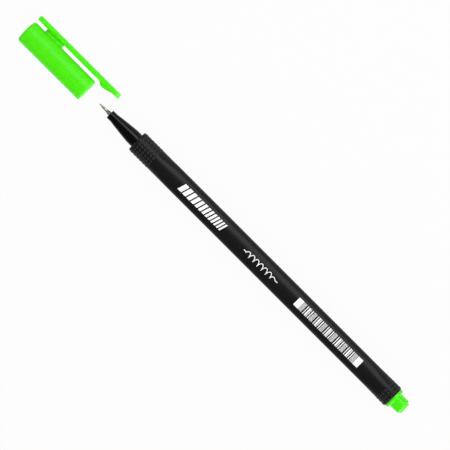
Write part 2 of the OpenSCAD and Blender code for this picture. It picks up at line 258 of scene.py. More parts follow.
# Camera, in millimetres: its distance, the width that it shows, and what it looks at
CAMERA_AWAY = 2400
SHOWN_WIDTH = 153
SENSOR_WIDTH = 36
target = TO_FRAME @ Vector((barrel_front + 41.43, 0.98, 0))

# Softbox, in metres: its turn to the clip's side in degrees, and how far ahead of the target it hangs
KEY_TURN = 35
KEY_RADIANCE = 3.4
KEY_AWAY = 0.8
KEY_WIDE = 0.5
KEY_LONG = 0.5
KEY_AHEAD = 0.06

# Strength of the surroundings: over the pen, at the horizon, and off its ends on the far and near side,
# where the nib's end and the plug's end have their own shares
OVERHEAD = 0.2
HORIZON = 0.35
FAR_ENDS = 3.1
NEAR_ENDS = 1.6
NIB_SHARE = 0.6
PLUG_SHARE = 1.5

# Table, in metres: its half width, its gap under the pen, and how far it shows as plain white
TABLE_HALF = 4
TABLE_DROP = 0.00002
WHITE_SHARE = 0.95
GLOSSY_SHARE = 0.3


def smooth(u):
    """Eases from 0 to 1."""
    u = min(1, max(0, u))
    return u * u * (3 - 2 * u)


# Mesh code
WELD = 0.0005
SLIVER = 0.0001
# Name of the mesh attribute that marks where a pale painted highlight and glow of light through thin
# plastic goes
GLOW_MARK = "painted_glow"


class Shape:
    """Points and faces of a piece, in the pen's own millimetres."""

    def __init__(self):
        self.points = []
        self.faces = []

    def add(self, points, faces):
        """Adds points, and faces that count from the first of them."""
        first = len(self.points)
        self.points += points
        self.faces += [[first + i for i in face] for face in faces]

    def skin(self, rings, closed=False, ends=True):
        """Quads between rings of equally many points; a closed skin joins its last ring to its first."""
        n = len(rings[0])
        count = len(rings)
        faces = [
            (k * n + i, k * n + (i + 1) % n, (k + 1) % count * n + (i + 1) % n, (k + 1) % count * n + i)
            for k in range(count if closed else count - 1)
            for i in range(n)
        ]
        if ends and not closed:
            faces += [list(range(n)), [(count - 1) * n + i for i in range(n)]]
        self.add([p for ring in rings for p in ring], faces)

    def sheet(self, rows):
        """Quads between rows of equally many points."""
        cols = len(rows[0])
        faces = [
            (i * cols + j, i * cols + j + 1, (i + 1) * cols + j + 1, (i + 1) * cols + j)
            for i in range(len(rows) - 1)
            for j in range(cols - 1)
        ]
        self.add([p for row in rows for p in row], faces)

    def slab(self, top, bottom):
        """Closed slab between two sheets of points."""
        self.sheet(top)
        self.sheet(bottom)
        rims = []
        for rows in (top, bottom):
            right = [row[-1] for row in rows[1:-1]]
            left = [row[0] for row in reversed(rows[1:-1])]
            rims.append(list(rows[0]) + right + list(reversed(rows[-1])) + left)
        self.skin(rims, ends=False)


def make_piece(name, shape, material, body, replaced=(), sharp=35):
    """Turns a shape into a mesh object on a CAD body; body None leaves it on no body."""
    mesh = bpy.data.meshes.new(name)
    mesh.from_pydata([TO_FRAME @ Vector(p) for p in shape.points], [], shape.faces)
    bm = bmesh.new()
    bm.from_mesh(mesh)
    bmesh.ops.remove_doubles(bm, verts=bm.verts, dist=WELD * MM)
    bmesh.ops.dissolve_degenerate(bm, edges=bm.edges, dist=SLIVER * MM)
    bmesh.ops.recalc_face_normals(bm, faces=bm.faces)
    bm.to_mesh(mesh)
    bm.free()
    mesh.shade_smooth()
    mesh.set_sharp_from_angle(angle=math.radians(sharp))
    mesh.materials.append(material)
    piece = bpy.data.objects.new(name, mesh)
    bpy.context.scene.collection.objects.link(piece)
    if body:
        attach(piece, body)
    if replaced:
        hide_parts(*replaced)
    return piece


def mark_painted_glow(piece, place, run):
    """Marks where a piece's plastic gets a pale painted highlight and glow, rising towards a place along
    the pen over a run before it.
    """
    layer = piece.data.attributes.new(GLOW_MARK, "FLOAT", "POINT")
    for point, value in zip(piece.data.vertices, layer.data):
        value.value = smooth((point.co.x / MM - place + run) / run)


def rounded(outline, steps=6):
    """Closed outline of (place, radius, rounding) corners, with each rounding turned into an arc.

    An arc takes nearly all of a side, or nearly half of it where the side's other end is rounded too.
    """
    all_of_side, half_of_side = 0.98, 0.49
    done = []
    count = len(outline)
    for i, (x, r, fillet) in enumerate(outline):
        if not fillet:
            done.append((x, r))
            continue
        here = Vector((x, r))
        sides = []
        for other in (outline[i - 1], outline[(i + 1) % count]):
            way = Vector(other[:2]) - here
            sides.append((way.normalized(), way.length * (half_of_side if other[2] else all_of_side)))
        (u, u_room), (v, v_room) = sides
        half = math.acos(max(-1, min(1, u.dot(v)))) / 2
        back = min(fillet / math.tan(half), u_room, v_room)
        centre = here + (u + v).normalized() * (back / math.cos(half))
        start, end = here + u * back - centre, here + v * back - centre
        turn = math.atan2(start.x * end.y - start.y * end.x, start.dot(end))
        for k in range(steps + 1):
            p = centre + Matrix.Rotation(turn * k / steps, 2) @ start
            done.append((p.x, p.y))
    return done


def ring_at(x, r, sides):
    """Ring of points about the axis; r is a number or a function of the angle."""
    angles = [math.tau * i / sides for i in range(sides)]
    radii = [r(a) if callable(r) else r for a in angles]
    return [(x, s * math.sin(a), s * math.cos(a)) for a, s in zip(angles, radii)]


def turned(outline, sides=96):
    """Shape that a closed outline of (place, radius) sweeps about the pen's axis."""
    least_r = 0.004
    shape = Shape()
    shape.skin([ring_at(x, max(r, least_r), sides) for x, r in outline], closed=True)
    return shape


# Materials: sizes of a plastic's changes of tone, changes of roughness and slow ripple, in millimetres
TONE_GRAIN = 3.5
WEAR_GRAIN = 0.7
RIPPLE_GRAIN = 6


def node_tree(material):
    """An emptied node tree with its shader and its output."""
    material.use_nodes = True
    tree = material.node_tree
    tree.nodes.clear()
    shader = tree.nodes.new("ShaderNodeBsdfPrincipled")
    output = tree.nodes.new("ShaderNodeOutputMaterial")
    tree.links.new(shader.outputs["BSDF"], output.inputs["Surface"])
    return tree, shader, output


def noise(tree, grain, detail=3, stretch=(1, 1, 1)):
    """Noise in the object's own space, with grains of a size in millimetres."""
    place = tree.nodes.new("ShaderNodeTexCoord")
    mapping = tree.nodes.new("ShaderNodeMapping")
    mapping.inputs["Scale"].default_value = [s / (grain * MM) for s in stretch]
    texture = tree.nodes.new("ShaderNodeTexNoise")
    texture.inputs["Scale"].default_value = 1
    texture.inputs["Detail"].default_value = detail
    tree.links.new(place.outputs["Object"], mapping.inputs["Vector"])
    tree.links.new(mapping.outputs["Vector"], texture.inputs["Vector"])
    return texture.outputs["Fac"]


def spread(tree, value, low, high, start=0.3, end=0.7, eased=False):
    """Maps a value from between start and end to between low and high."""
    node = tree.nodes.new("ShaderNodeMapRange")
    node.interpolation_type = "SMOOTHSTEP" if eased else "LINEAR"
    node.inputs["From Min"].default_value = start
    node.inputs["From Max"].default_value = end
    node.inputs["To Min"].default_value = low
    node.inputs["To Max"].default_value = high
    tree.links.new(value, node.inputs["Value"])
    return node.outputs["Result"]


def combined(tree, operation, a, b):
    """Sum, product or maximum of two values; b may be a plain number."""
    node = tree.nodes.new("ShaderNodeMath")
    node.operation = operation
    tree.links.new(a, node.inputs[0])
    if isinstance(b, float):
        node.inputs[1].default_value = b
    else:
        tree.links.new(b, node.inputs[1])
    return node.outputs["Value"]


def tinted(tree, value, low, high):
    """Colour between two by a value from 0 to 1."""
    node = tree.nodes.new("ShaderNodeMix")
    node.data_type = "RGBA"
    node.inputs["A"].default_value = (*low, 1)
    node.inputs["B"].default_value = (*high, 1)
    tree.links.new(value, node.inputs["Factor"])
    return node.outputs["Result"]


def paler(tree, colour, pale):
    """Colour that turns to a pale one where the mesh is marked: a painted highlight and glow of light
    through thin plastic.
    """
    thin = tree.nodes.new("ShaderNodeAttribute")
    thin.attribute_name = GLOW_MARK
    node = tree.nodes.new("ShaderNodeMix")
    node.data_type = "RGBA"
    node.inputs["B"].default_value = (*pale, 1)
    tree.links.new(thin.outputs["Fac"], node.inputs["Factor"])
    tree.links.new(colour, node.inputs["A"])
    return node.outputs["Result"]


def bumped(tree, shader, layers):
    """Bump of several noises, each with its height in millimetres."""
    last = None
    for value, height in layers:
        node = tree.nodes.new("ShaderNodeBump")
        node.inputs["Strength"].default_value = 1
        node.inputs["Distance"].default_value = height * MM
        tree.links.new(value, node.inputs["Height"])
        if last:
            tree.links.new(last, node.inputs["Normal"])
        last = node.outputs["Normal"]
    tree.links.new(last, shader.inputs["Normal"])


def plastic(name, colours, rough, specular, grain, ripple, depth=None, skin=None, rim=None):
    """Moulded plastic between two near colours and two roughnesses.

    Grain is the size and height of its fine texture, ripple the height of its slow one, depth the weight
    and reach of the light in it, skin the weight and roughness of its coat, and rim the pale colour of its
    marked edges, a painted highlight and glow of light through thin plastic.
    """
    material = bpy.data.materials.new(name)
    tree, shader, output = node_tree(material)
    tone = spread(tree, noise(tree, TONE_GRAIN, detail=4), 0, 1)
    colour = tinted(tree, tone, *colours)
    # Pale rim colour mixed in where the mesh is marked: a painted highlight and glow of light through thin
    # plastic
    if rim:
        colour = paler(tree, colour, rim)
    tree.links.new(colour, shader.inputs["Base Color"])
    wear = spread(tree, noise(tree, WEAR_GRAIN, detail=5), *rough)
    tree.links.new(wear, shader.inputs["Roughness"])
    shader.inputs["Specular IOR Level"].default_value = specular
    if depth:
        weight, reach = depth
        shader.inputs["Subsurface Weight"].default_value = weight
        shader.inputs["Subsurface Radius"].default_value = reach
        shader.inputs["Subsurface Scale"].default_value = MM
    if skin:
        weight, coat_rough = skin
        shader.inputs["Coat Weight"].default_value = weight
        shader.inputs["Coat Roughness"].default_value = coat_rough
        shader.inputs["Coat IOR"].default_value = 1.35
    size, height = grain
    fine, slow = noise(tree, size, detail=2), noise(tree, RIPPLE_GRAIN, detail=1)
    bumped(tree, shader, [(fine, height), (slow, ripple)])
    return material


def drawn_steel():
    """Drawn steel: bright metal with fine rings round it, and dark streaks along it that are painted
    reflections of dark surroundings.
    """
    material = bpy.data.materials.new("drawn_steel")
    tree, shader, output = node_tree(material)
    dark, bright = (0.07, 0.05, 0.05), (0.78, 0.68, 0.65)
    rings = noise(tree, grain=0.05, detail=3, stretch=(1, 0.04, 0.04))
    # Dark streaks along the sleeve: painted reflections of dark surroundings
    lines = noise(tree, grain=0.26, detail=2, stretch=(0.05, 1, 1))
    tone = spread(tree, lines, 0, 1, start=0.4, end=0.5)
    tree.links.new(tinted(tree, tone, dark, bright), shader.inputs["Base Color"])
    tree.links.new(spread(tree, rings, 0.1, 0.2), shader.inputs["Roughness"])
    shader.inputs["Metallic"].default_value = 1
    bumped(tree, shader, [(rings, 0.002)])
    return material


def fibre(name, colours, strand):
    """Bonded fibres that run along the pen, each about a strand wide."""
    material = bpy.data.materials.new(name)
    tree, shader, output = node_tree(material)
    strands = noise(tree, strand, detail=4, stretch=(0.06, 1, 1))
    tree.links.new(tinted(tree, spread(tree, strands, 0, 1), *colours), shader.inputs["Base Color"])
    tree.links.new(spread(tree, strands, 0.9, 0.7), shader.inputs["Roughness"])
    shader.inputs["Specular IOR Level"].default_value = 0.2
    bumped(tree, shader, [(strands, strand * 0.4)])
    return material


def white_ink():
    """Pad-printed ink: off-white, a little uneven in its cover."""
    material = bpy.data.materials.new("white_ink")
    tree, shader, output = node_tree(material)
    thin, full = (0.84, 0.84, 0.84), (0.93, 0.93, 0.92)
    cover = spread(tree, noise(tree, grain=0.25, detail=5), 0, 1, start=0.25, end=0.55)
    tree.links.new(tinted(tree, cover, thin, full), shader.inputs["Base Color"])
    tree.links.new(spread(tree, noise(tree, grain=0.12), 0.4, 0.6), shader.inputs["Roughness"])
    shader.inputs["Specular IOR Level"].default_value = 0.3
    bumped(tree, shader, [(noise(tree, grain=0.1, detail=3), 0.004)])
    return material


green = plastic(
    "green_plastic",
    colours=((0.074, 0.77, 0.0012), (0.082, 0.80, 0.0018)),
    rough=(0.34, 0.44),
    specular=0.24,
    grain=(0.12, 0.003),
    ripple=0.02,
    depth=(0.5, (0.6, 1.6, 0.4)),
    # rim: pale colour painted on the cap's mouth and the clip's tip, a painted highlight and glow of light
    # through thin plastic
    rim=(0.14, 0.77, 0.066),
)
gloss_green = plastic(
    "gloss_green",
    colours=((0.068, 0.76, 0.0010), (0.076, 0.79, 0.0014)),
    rough=(0.14, 0.22),
    specular=0.36,
    grain=(0.12, 0.002),
    ripple=0.01,
    depth=(0.5, (0.6, 2, 0.4)),
    # rim: pale colour painted on the plug's end, a painted highlight and glow of light through thin plastic
    rim=(0.18, 0.785, 0.1),
)
satin_black = plastic(
    "satin_black",
    colours=((0.0012, 0.0012, 0.0014), (0.0020, 0.0019, 0.0022)),
    rough=(0.5, 0.58),
    specular=0.14,
    grain=(0.1, 0.003),
    ripple=0.01,
    skin=(0.36, 0.22),
)
# Dots' plastic: its colours a touch lighter than the barrel's, a painted highlight on the dots
dot_black = plastic(
    "dot_black",
    colours=((0.0014, 0.0014, 0.0016), (0.0024, 0.0023, 0.0026)),
    rough=(0.3, 0.38),
    specular=0.32,
    grain=(0.1, 0.002),
    ripple=0.005,
)
gloss_black = plastic(
    "gloss_black",
    colours=((0.0010, 0.0010, 0.0011), (0.0016, 0.0016, 0.0018)),
    rough=(0.1, 0.16),
    specular=0.19,
    grain=(0.15, 0.0008),
    ripple=0.008,
)
liner_white = plastic(
    "liner_plastic",
    colours=((0.70, 0.74, 0.70), (0.78, 0.82, 0.78)),
    rough=(0.35, 0.5),
    specular=0.4,
    grain=(0.12, 0.002),
    ripple=0.01,
)
film_clear = plastic(
    "reservoir_film",
    colours=((0.72, 0.76, 0.80), (0.80, 0.84, 0.87)),
    rough=(0.1, 0.2),
    specular=0.5,
    grain=(0.3, 0.002),
    ripple=0.02,
)
steel = drawn_steel()
nib_green = fibre("nib_fibre", colours=((0.09, 0.42, 0.06), (0.19, 0.60, 0.13)), strand=0.05)
reservoir_green = fibre("reservoir_fibre", colours=((0.32, 0.62, 0.24), (0.55, 0.80, 0.45)), strand=0.12)
ink = white_ink()

# Section of the barrel: crowned faces that run smoothly into rounded corners. A corner's centre lies
# corner_c out from the axis, a face's centre lies face_c behind it, and the two arcs meet at meet_angle.
corner_c = corner_reach - CORNER_R
face_top = CORNER_R**2 - corner_c**2 + corner_c * face_reach - face_reach**2
face_arc = face_top / (corner_c + 2 * (CORNER_R - face_reach))
face_c = face_arc - face_reach
meet_scale = face_arc / (face_arc - CORNER_R)
meet_run = (corner_c / 2 + face_c) * meet_scale - face_c
meet_angle = math.atan2(corner_c * math.sqrt(3) / 2 * meet_scale, meet_run)


def three_sided(a):
    """Radius of the three-sided section at an angle from the middle of the printed face."""
    third = math.tau / 3
    fold = abs((a + third / 2) % third - third / 2)
    if fold < meet_angle:
        return math.sqrt(face_arc**2 - (face_c * math.sin(fold)) ** 2) - face_c * math.cos(fold)
    off = third / 2 - fold
    return corner_c * math.cos(off) + math.sqrt(CORNER_R**2 - (corner_c * math.sin(off)) ** 2)


def make_barrel():
    """Barrel: round bands with rounded edges, blends into the three-sided part, and the bore."""
    front_run = barrel_front + FRONT_BAND
    rear_run = barrel_rear - REAR_BAND
    front = rounded([
        (socket_end, spigot_r, 0),
        (barrel_front, spigot_r, BORE_EDGE),
        (barrel_front, front_band_r, BARREL_EDGE),
        (front_run, front_band_r, 0),
    ])
    rear = rounded([
        (rear_run, rear_band_r, 0),
        (barrel_rear, rear_band_r, BARREL_EDGE),
        (barrel_rear, bore_r, BORE_EDGE),
        (socket_end, bore_r, 0),
    ])

    def section(band, share):
        return lambda a: band + (three_sided(a) - band) * smooth(share)

    shares = [k / BLEND_RINGS for k in range(1, BLEND_RINGS + 1)]
    rings = [ring_at(x, r, BARREL_SIDES) for x, r in front]
    rings += [ring_at(front_run + BLEND * u, section(front_band_r, u), BARREL_SIDES) for u in shares]
    shares.reverse()
    rings += [ring_at(rear_run - BLEND * u, section(rear_band_r, u), BARREL_SIDES) for u in shares]
    rings += [ring_at(x, r, BARREL_SIDES) for x, r in rear]
    shape = Shape()
    shape.skin(rings, closed=True)
    make_piece("barrel_skin", shape, satin_black, "pen", ["barrel"])


def make_dots(name, band_r, first, count):
    """Rows of raised dots round a band: caps of a ball, from the place of the first dot of each row."""
    shape = Shape()
    ball = (DOT_R**2 + DOT_H**2) / (2 * DOT_H)
    rim = math.asin(DOT_R / ball)
    spokes = [math.tau * j / DOT_SIDES for j in range(DOT_SIDES)]
    for row in range(DOT_ROWS):
        turn = math.radians(DOT_TURN) + math.tau * row / DOT_ROWS
        out = Vector((0, math.sin(turn), math.cos(turn)))
        side = Vector((0, math.cos(turn), -math.sin(turn)))
        for i in range(count):
            centre = out * (band_r + DOT_H - ball) + ALONG * (first + DOT_PITCH * i)
            rings = []
            for share in DOT_RINGS:
                up, wide = ball * math.cos(rim * share), ball * math.sin(rim * share)
                ways = [ALONG * math.cos(t) + side * math.sin(t) for t in spokes]
                rings.append([tuple(centre + out * up + way * wide) for way in ways])
            shape.skin(rings)
    make_piece(name, shape, dot_black, "pen", sharp=60)


def make_nose():
    """Nose: the glossy taper, its spigot and its stepped bore."""
    taper_from, taper_to = nose_front + NOSE_FRONT_LEN, barrel_front - NOSE_REAR_LEN
    taper = []
    for k in range(NOSE_STEPS + 1):
        u = k / NOSE_STEPS
        swell = u + 4 * NOSE_CROWN * u * (1 - u)
        r = nose_front_r + (nose_rear_r - nose_front_r) * swell
        taper.append((taper_from + (taper_to - taper_from) * u, r, 0))
    outline = rounded([
        (nose_front, shank_bore_r, NOSE_BORE_EDGE),
        (nose_front, nose_front_r, NOSE_EDGE),
        *taper,
        (barrel_front, nose_rear_r, 0),
        (barrel_front, spigot_r, 0),
        (socket_end, spigot_r, SPIGOT_EDGE),
        (socket_end, feed_bore_r, 0),
        (sleeve_end, feed_bore_r, 0),
        (sleeve_end, shank_bore_r, 0),
    ])
    make_piece("nose_cone", turned(outline), gloss_black, "pen", ["nose_section"])


def make_nib():
    """Steel sleeve with its rolled front edge, and the fibre point in it."""
    cone = sleeve_front + SLEEVE_TUBE
    tip_r = radius("nib_sleeve", sleeve_front)
    tube_r = radius("nib_sleeve", cone)
    shank_r = radius("nib_sleeve", sleeve_end)
    bore = radius("nib_sleeve", sleeve_front, min)
    feed = radius("nib_sleeve", sleeve_end, min)
    outline = rounded([
        (sleeve_front, bore, SLEEVE_BORE_EDGE),
        (sleeve_front, tip_r, SLEEVE_EDGE),
        (cone, tube_r, SLEEVE_CONE_ROUND),
        (nose_front, shank_r, SLEEVE_EDGE),
        (sleeve_end, shank_r, SLEEVE_TAIL_EDGE),
        (sleeve_end, feed, 0),
        (nose_front, feed, 0),
        (nose_front, bore, 0),
    ], 8)
    make_piece("nib_tube", turned(outline, 64), steel, "pen", ["nib_sleeve"])
    point_r = radius("fibre_nib", sleeve_front)
    feed_r = radius("fibre_nib", feed_end)
    feed_from = nose_front + (feed_bore_r - feed_r)
    outline = rounded([
        (nib_tip, 0, 0),
        (nib_tip, point_r, point_r * POINT_ROUND),
        (feed_from, point_r, 0),
        (feed_from, feed_r, 0),
        (feed_end, feed_r, FEED_EDGE),
        (feed_end, 0, 0),
    ], 10)
    make_piece("fibre_tip", turned(outline, 48), nib_green, "pen", ["fibre_nib"])


def make_plug():
    """End plug: flange, stub and boss, with the hollow spigot and the crossed blades inside the barrel."""
    spigot_out = bore_r - (feed_bore_r - radius("fibre_nib", feed_end))
    spigot_in = spigot_out - PLUG_WALL
    spigot_from = barrel_rear - PLUG_SPIGOT
    floor_edge, mouth_in_edge, mouth_out_edge = PLUG_SPIGOT_EDGES
    chamfer_from_edge, chamfer_to_edge = STUB_CHAMFER_EDGES
    stub_end = plug_end - BOSS_H
    outline = rounded([
        (barrel_rear, 0, 0),
        (barrel_rear, spigot_in, floor_edge),
        (spigot_from, spigot_in, mouth_in_edge),
        (spigot_from, spigot_out, mouth_out_edge),
        (barrel_rear, spigot_out, 0),
        (barrel_rear, flange_r, FLANGE_SEAT_EDGE),
        (0, flange_r, FLANGE_ROUND),
        (0, stub_r, STUB_ROOT),
        (stub_end - STUB_CHAMFER, stub_r, chamfer_from_edge),
        (stub_end, stub_r - STUB_CHAMFER, chamfer_to_edge),
        (stub_end, BOSS_R, BOSS_ROOT),
        (plug_end, BOSS_R, BOSS_EDGE),
        (plug_end, 0, 0),
    ])
    shape = turned(outline)
    half_t, half_w = BLADE_T / 2, spigot_in + BLADE_OVERLAP
    blade_end = barrel_rear + BLADE_OVERLAP
    for upright in (False, True):
        rings = []
        for x, inset in ((blades_front, BLADE_CHAMFER), (blades_front + BLADE_CHAMFER, 0), (blade_end, 0)):
            t, w = half_t - inset / 2, half_w - inset
            corners = [(-w, -t), (w, -t), (w, t), (-w, t)]
            rings.append([(x, b, a) if upright else (x, a, b) for a, b in corners])
        shape.skin(rings)
    plug = make_piece("plug_body", shape, gloss_green, "pen", ["end_plug"])
    # Pale painted highlight and glow towards the plug's end
    mark_painted_glow(plug, plug_end, PLUG_GLOW_RUN)


def make_cap():
    """Cap: domed tube with its grip ribs, whose mouth stops a hair short of the barrel with the cap on."""
    dome_steps, edge_steps = 8, 10
    mouth = cap_mouth - MOUTH_GAP
    dome_r = cap_end_r - CAP_EDGE
    shares = [k / dome_steps for k in range(dome_steps + 1)]
    dome = [(cap_front + CAP_DOME * u**2, dome_r * u) for u in shares]
    edge_x = cap_front + CAP_DOME + CAP_EDGE
    turns = [math.pi / 2 * k / edge_steps for k in range(1, edge_steps + 1)]
    edge = [(edge_x - CAP_EDGE * math.cos(t), dome_r + CAP_EDGE * math.sin(t)) for t in turns]
    slope = (cap_mouth_r - cap_end_r) / (cap_mouth - MOUTH_EDGE - edge_x)
    wall_places = [cap_mouth - MOUTH_THIN * share for share in MOUTH_THIN_RINGS]
    wall = [(x, cap_end_r + slope * (x - edge_x), 0) for x in wall_places]
    rest = rounded([
        (edge_x, cap_end_r, 0),
        *wall,
        (mouth, cap_mouth_r, MOUTH_EDGE),
        (mouth, cap_bore_r, MOUTH_BORE_EDGE),
        (cap_mouth - MOUTH_THIN, cap_bore_r, 0),
        (cap_front + CAP_END_T, cap_bore_r, CAP_END_FILLET),
        (cap_front + CAP_END_T, 0, 0),
    ], 8)
    shape = turned(dome + edge[:-1] + rest, 128)
    rib_from = cap_mouth - RIB_IN
    rib_to = rib_from - RIB_LEN
    low = cap_bore_r - RIB_LOW
    steps = [(rib_from, low), (rib_from - RIB_RAMP, rib_r), (rib_to + RIB_RAMP, rib_r), (rib_to, low)]
    for k in range(RIBS):
        turn = math.tau * k / RIBS
        up = Vector((0, math.cos(turn), math.sin(turn)))
        side = Vector((0, -math.sin(turn), math.cos(turn)))
        rings = []
        for x, r_in in steps:
            half = RIB_W / 2
            soft = min(RIB_EDGE, (cap_bore_r - r_in) / 2)
            foot = (cap_bore_r + RIB_SUNK, half + RIB_SPLAY)
            flank = [(r_in, half - soft), (r_in + soft, half), foot]
            section = [(r, -w) for r, w in reversed(flank)] + flank
            rings.append([tuple(ALONG * x + up * r + side * w) for r, w in section])
        shape.skin(rings)
    tube = make_piece("cap_tube", shape, green, "cap", ["cap_shell"])
    # Pale painted highlight and glow towards the cap's mouth
    mark_painted_glow(tube, cap_mouth, MOUTH_THIN)


def web_outline(grow):
    """Outline of the web in plan, round at its front and square at its rear, grown by a margin."""
    front_steps, corner_steps = 12, 3
    half = WEB_W / 2
    points = []
    for k in range(front_steps + 1):
        t = math.pi / 2 + math.pi * k / front_steps
        points.append((web_front + half + (half + grow) * math.cos(t), (half + grow) * math.sin(t)))
    for sign in (-1, 1):
        for k in range(corner_steps + 1):
            t = math.pi / 2 * (k if sign > 0 else corner_steps - k) / corner_steps
            x = flex_x + grow - WEB_CORNER + WEB_CORNER * math.cos(t)
            points.append((x, sign * (half + grow - WEB_CORNER + WEB_CORNER * math.sin(t))))
    return points


def make_web():
    """Web between the cap and the clip, with small fillets where it meets the two."""
    fillet_steps = 5
    turns = [math.pi / 2 * k / fillet_steps for k in range(fillet_steps + 1)]
    foot = math.sqrt(cap_end_r**2 - (WEB_W / 2 + WEB_FILLET) ** 2)
    levels = [(cap_bore_r + WEB_OVERLAP, WEB_FILLET)]
    levels += [(foot + WEB_FILLET * (1 - math.cos(t)), WEB_FILLET * (1 - math.sin(t))) for t in turns]
    levels += [(clip_inner - WEB_FILLET * (1 - math.sin(t)), WEB_FILLET * (1 - math.cos(t))) for t in turns]
    levels.append((clip_inner + WEB_OVERLAP, WEB_FILLET))
    shape = Shape()
    shape.skin([[(x, y, z) for x, z in web_outline(grow)] for y, grow in levels])
    make_piece("clip_web", shape, green, "cap")


def bump_at(x):
    """Height of the clip's grip bump at a place along it."""
    u = (x - bump_front) / BUMP_LEN
    if u <= 0 or u >= 1:
        return 0
    k = next(i for i in range(len(BUMP_PLACES) - 1) if u <= BUMP_PLACES[i + 1])
    v = (u - BUMP_PLACES[k]) / (BUMP_PLACES[k + 1] - BUMP_PLACES[k])
    return BUMP_H * (BUMP_HEIGHTS[k] + (BUMP_HEIGHTS[k + 1] - BUMP_HEIGHTS[k]) * v)


def clip_plan():
    """Plan of the clip as (place, half width, outward way): square end, straight sides, half-round tip."""
    corner_steps, side_steps, tip_steps = 6, 90, 14
    half = CLIP_W / 2
    tip_c = clip_tip - half
    front_c = clip_front + CLIP_CORNER
    plan = []
    for k in range(corner_steps + 1):
        t = math.pi / 2 * (1 - k / corner_steps)
        out = (-math.sin(t), math.cos(t))
        plan.append((front_c + CLIP_CORNER * out[0], half - CLIP_CORNER + CLIP_CORNER * out[1], out))
    side = tip_c - front_c
    plan += [(front_c + side * k / side_steps, half, (0, 1)) for k in range(1, side_steps)]
    for k in range(tip_steps + 1):
        t = math.pi / 2 * k / tip_steps
        plan.append((tip_c + half * math.sin(t), half * math.cos(t), (math.sin(t), math.cos(t))))
    return plan


def make_clip():
    """Clip: one bar with rounded edges from its square end over the web to its half-round tip."""
    plan = clip_plan()
    inset_plan = [(x - CLIP_EDGE * out[0], w - CLIP_EDGE * out[1]) for x, w, out in plan]
    across_steps, edge_steps = 10, 6
    cells = [2 * j / across_steps - 1 for j in range(across_steps + 1)]
    flat = CLIP_W / 2 - CLIP_EDGE

    def inner_y(x, z):
        """Inner side of the clip, where the bump falls off steeply towards the clip's edges."""
        return clip_inner - bump_at(x) * smooth((flat - abs(z)) / BUMP_FLANK + BUMP_AT_EDGE)

    shape = Shape()
    shape.sheet([[(x, clip_outer, w * c) for c in cells] for x, w in inset_plan])
    inner = [[(x, inner_y(x, w * c), w * c) for c in cells] for x, w in inset_plan]
    shape.sheet(inner)
    turns = [math.pi / 2 * k / edge_steps for k in range(1, edge_steps + 1)]
    levels = [(clip_inner + CLIP_EDGE * (1 - math.cos(t)), CLIP_EDGE * (1 - math.sin(t))) for t in turns]
    levels += [(clip_inner + clip_outer - y, inset) for y, inset in reversed(levels)]
    levels.append((clip_outer, CLIP_EDGE))
    rings = [[row[-1] for row in inner] + [row[0] for row in reversed(inner)]]
    for y, inset in levels:
        right = [(x - inset * out[0], y, w - inset * out[1]) for x, w, out in plan]
        rings.append(right + [(x, y, -z) for x, y, z in reversed(right)])
    shape.skin(rings, ends=False)
    nodes = ["pocket_clip", "cap_shell"]
    clip = make_piece("clip_bar", shape, green, None, nodes, sharp=50)
    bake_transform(clip)
    # Pale painted highlight and glow towards the clip's tip
    mark_painted_glow(clip, clip_tip, TIP_GLOW_RUN)


def make_liner():
    """Inner cap: the tube that seals on the nose, its closing web and its skirt."""
    lip_in = radius("inner_cap", lip_end, min)
    lip_out = radius("inner_cap", lip_end)
    skirt_out = radius("inner_cap", seal_front)
    skirt_in = radius("inner_cap", seal_front, min)
    seal_end = nib_tip - cap_off - LINER_STANDOFF
    web_from, web_to = seal_end - LINER_WEB_T, seal_end + LINER_WEB_T
    outline = rounded([
        (lip_end, lip_in, LINER_LIP_EDGE),
        (lip_end, lip_out, LINER_EDGE),
        (web_to, lip_out, LINER_EDGE),
        (web_to, skirt_out, LINER_EDGE),
        (seal_front, skirt_out, LINER_SKIRT_EDGE),
        (seal_front, skirt_in, LINER_SKIRT_EDGE),
        (web_from, skirt_in, LINER_EDGE),
        (web_from, 0, 0),
        (seal_end, 0, 0),
        (seal_end, lip_in, LINER_EDGE),
    ])
    make_piece("cap_liner", turned(outline, 64), liner_white, "cap", ["inner_cap"])


def on_face(x, y, lift):
    """Point on the printed face, lifted off it along the face's own normal."""
    turn = math.asin(y / face_arc)
    size = face_arc + lift
    return (x, size * math.sin(turn), size * math.cos(turn) - face_c)


def print_strip(shape, left, right):
    """Inked strip on the printed face between two lines of (x, y) points."""
    top = [[on_face(*p, INK_T) for p in line] for line in (left, right)]
    bottom = [[on_face(*p, -INK_T) for p in line] for line in (left, right)]
    shape.slab(top, bottom)


def print_bar(shape, x0, x1, y0, y1, slant=0):
    """Inked bar between two places along the pen and two across it, leaning by a slant."""
    steps = 10
    places = [y0 + (y1 - y0) * k / steps for k in range(steps + 1)]
    print_strip(shape, [(x0 + slant * y, y) for y in places], [(x1 + slant * y, y) for y in places])


def make_fading_print():
    """Bold slanted bars that thin out along the pen."""
    shape = Shape()
    x, wide = FADING_FROM, FADING_WIDE
    for k in range(FADING_BARS):
        print_bar(shape, x, x + wide, FADING_LOW, FADING_HIGH, FADING_SLANT)
        x += wide + FADING_GAP
        wide *= FADING_SHRINK
    make_piece("print_fading_bars", shape, ink, "pen", sharp=30)


